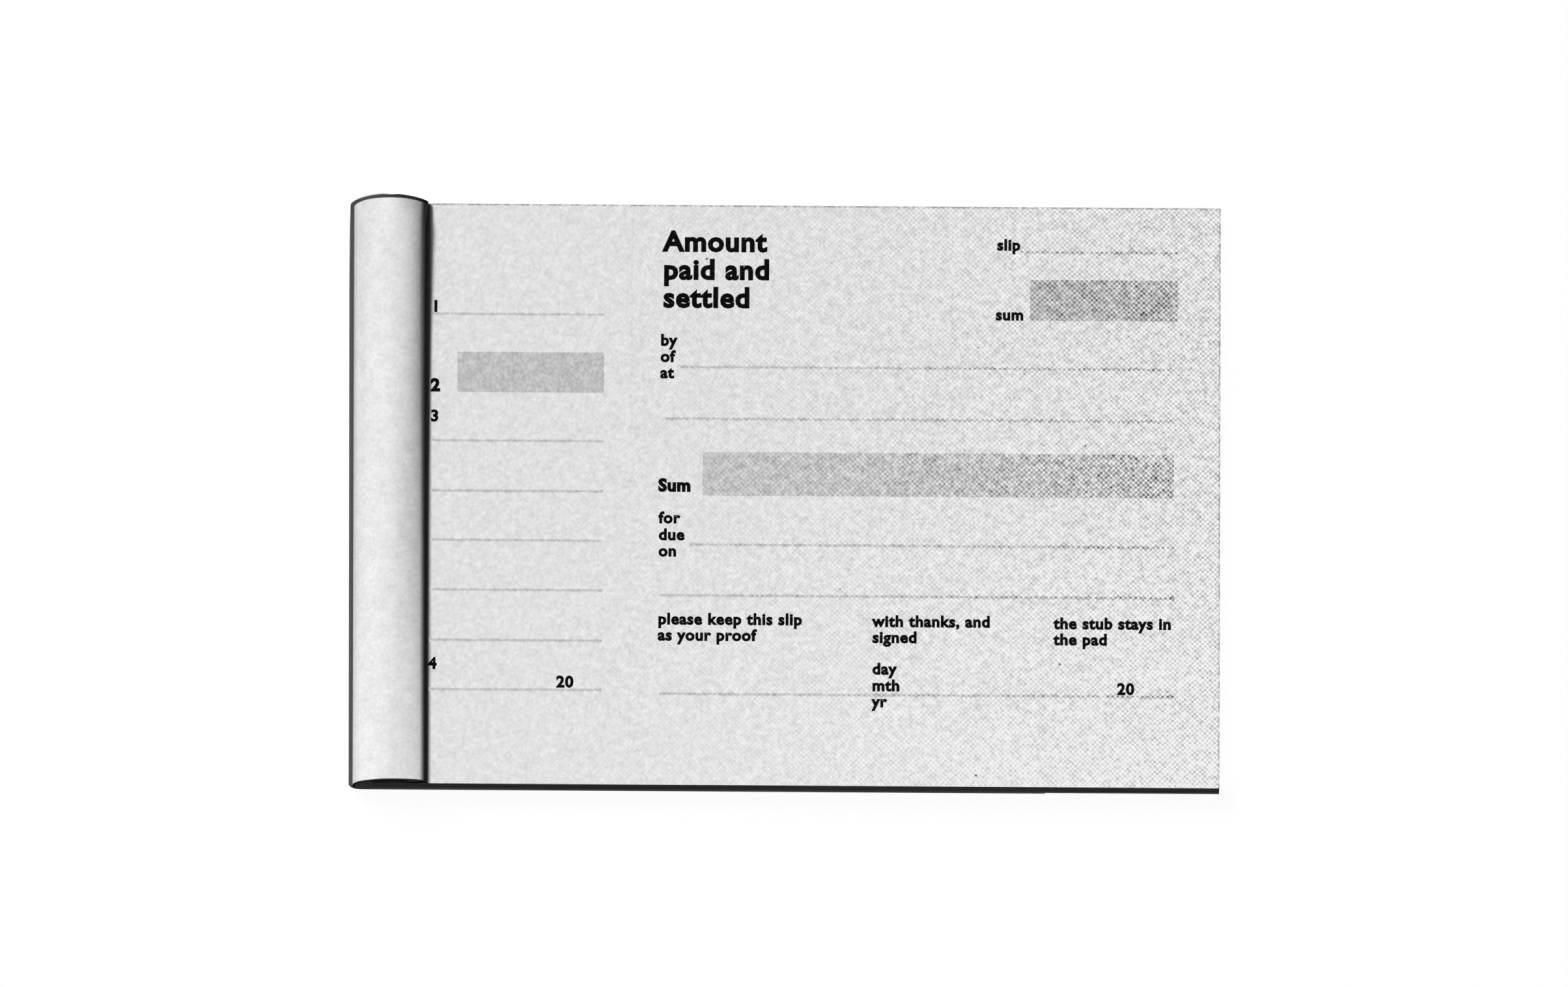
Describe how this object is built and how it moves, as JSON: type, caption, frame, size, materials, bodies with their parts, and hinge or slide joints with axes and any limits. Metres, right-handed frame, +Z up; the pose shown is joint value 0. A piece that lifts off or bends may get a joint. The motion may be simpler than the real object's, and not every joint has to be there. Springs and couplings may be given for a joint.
{
  "type": "receipt pad",
  "caption": "Landscape receipt pad: perforated stub-and-receipt leaves stapled to a board at the left, with the card cover folded back in a roll over the binding.",
  "frame": {"origin": "centre of the pad's box on the table, under the folded-back cover", "axes": "+X from the rolled cover towards the receipt's free edge, +Y towards the top of the page, +Z up out of the page"},
  "size_m": [0.152, 0.105, 0.0107],
  "materials": {
    "paper": "uncoated writing paper",
    "cover_card": "smooth pale card",
    "grey_board": "raw grey board",
    "binding_strip": "glued linen strip",
    "staple_steel": "bright wire"
  },
  "bodies": {
    "pad": {"cover_roll": "cover_card", "spine_strip": "binding_strip", "backing_board": "grey_board", "staple_near": "staple_steel", "staple_far": "staple_steel", "leaf_01_margin": "paper", "leaf_02_margin": "paper", "leaf_03_margin": "paper", "leaf_04_margin": "paper", "leaf_05_margin": "paper", "leaf_06": "paper", "leaf_07": "paper", "leaf_08": "paper", "leaf_09": "paper", "leaf_10": "paper", "leaf_11": "paper", "leaf_12": "paper", "leaf_13": "paper", "leaf_14": "paper", "leaf_15": "paper", "leaf_16": "paper", "leaf_17": "paper", "leaf_18": "paper", "leaf_19": "paper", "leaf_20": "paper", "leaf_21": "paper", "leaf_22": "paper", "leaf_23": "paper", "leaf_24": "paper", "leaf_25": "paper", "leaf_26": "paper", "leaf_27": "paper", "leaf_28": "paper", "leaf_29": "paper", "leaf_30": "paper", "leaf_31": "paper", "leaf_32": "paper", "leaf_33": "paper", "leaf_34": "paper", "leaf_35": "paper", "leaf_36": "paper", "leaf_37": "paper", "leaf_38": "paper", "leaf_39": "paper", "leaf_40": "paper"},
    "cover": {"cover_flap": "cover_card"},
    "leaf_01_stub": {"leaf_01_stub": "paper"},
    "leaf_02_page": {"leaf_02_page": "paper"},
    "leaf_03_page": {"leaf_03_page": "paper"},
    "leaf_04_page": {"leaf_04_page": "paper"},
    "leaf_05_page": {"leaf_05_page": "paper"},
    "leaf_01_receipt": {"leaf_01_receipt": "paper"}
  },
  "joints": [
    {"name": "cover_swing", "type": "hinge", "parent": "pad", "child": "cover", "pos_m": [-0.07305, 0, -0.00001], "axis": [0, 1, 0], "range_deg": [0, 180]},
    {"name": "leaf_01_turn", "type": "hinge", "parent": "pad", "child": "leaf_01_stub", "pos_m": [-0.0625, 0, 0.00456], "axis": [0, -1, 0], "range_deg": [0, 100]},
    {"name": "leaf_02_turn", "type": "hinge", "parent": "pad", "child": "leaf_02_page", "pos_m": [-0.06235, 0, 0.00448], "axis": [0, -1, 0], "range_deg": [0, 84]},
    {"name": "leaf_03_turn", "type": "hinge", "parent": "pad", "child": "leaf_03_page", "pos_m": [-0.0622, 0, 0.0044], "axis": [0, -1, 0], "range_deg": [0, 68]},
    {"name": "leaf_04_turn", "type": "hinge", "parent": "pad", "child": "leaf_04_page", "pos_m": [-0.06205, 0, 0.00432], "axis": [0, -1, 0], "range_deg": [0, 52]},
    {"name": "leaf_05_turn", "type": "hinge", "parent": "pad", "child": "leaf_05_page", "pos_m": [-0.0619, 0, 0.00424], "axis": [0, -1, 0], "range_deg": [0, 36]},
    {"name": "receipt_fold", "type": "hinge", "parent": "leaf_01_stub", "child": "leaf_01_receipt", "pos_m": [-0.02715, 0, 0.00456], "axis": [0, -1, 0], "range_deg": [0, 100]}
  ],
  "couplings": [
    {"joint": "leaf_02_turn", "follows": "leaf_01_turn", "ratio": 0.84},
    {"joint": "leaf_03_turn", "follows": "leaf_01_turn", "ratio": 0.68},
    {"joint": "leaf_04_turn", "follows": "leaf_01_turn", "ratio": 0.52},
    {"joint": "leaf_05_turn", "follows": "leaf_01_turn", "ratio": 0.36}
  ]
}
